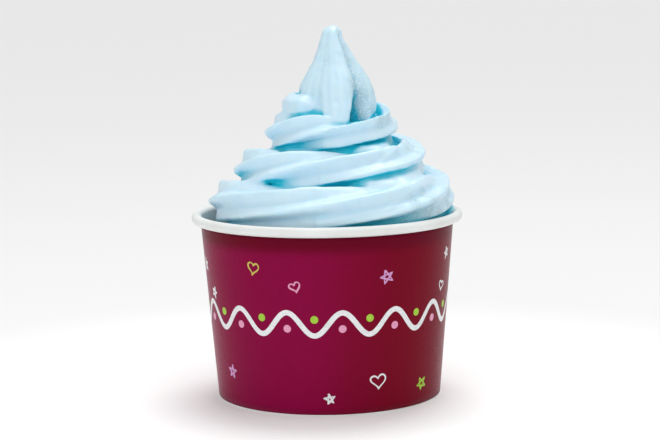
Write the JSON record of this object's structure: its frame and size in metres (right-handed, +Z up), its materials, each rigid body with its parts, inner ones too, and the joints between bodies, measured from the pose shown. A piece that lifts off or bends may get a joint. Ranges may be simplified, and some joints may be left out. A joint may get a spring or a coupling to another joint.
{
  "type": "frozen yoghurt swirl in a paper cup",
  "caption": "Round paper cup with a rolled rim, heaped with a pale blue piped swirl of soft frozen yoghurt that rises in ridged coils to a drawn-up peak.",
  "frame": {"origin": "middle of the cup's foot, on the surface it stands on", "axes": "+Z up along the cup's axis, -Y towards the side that the picture shows, +X to the right of it"},
  "size_m": [0.112, 0.112, 0.1529],
  "materials": {
    "printed_paper": "burgundy printed and varnished paperboard, satin, with a white coated inside and rolled rim",
    "white_paper": "white coated paperboard, smooth and matt",
    "frozen_yoghurt": "pale sky-blue soft frozen yoghurt, smooth, softly translucent and slightly wet, with frosty patches"
  },
  "bodies": {
    "root": {"cup_wall": "printed_paper", "cup_base": "white_paper", "swirl": "frozen_yoghurt"}
  },
  "joints": []
}
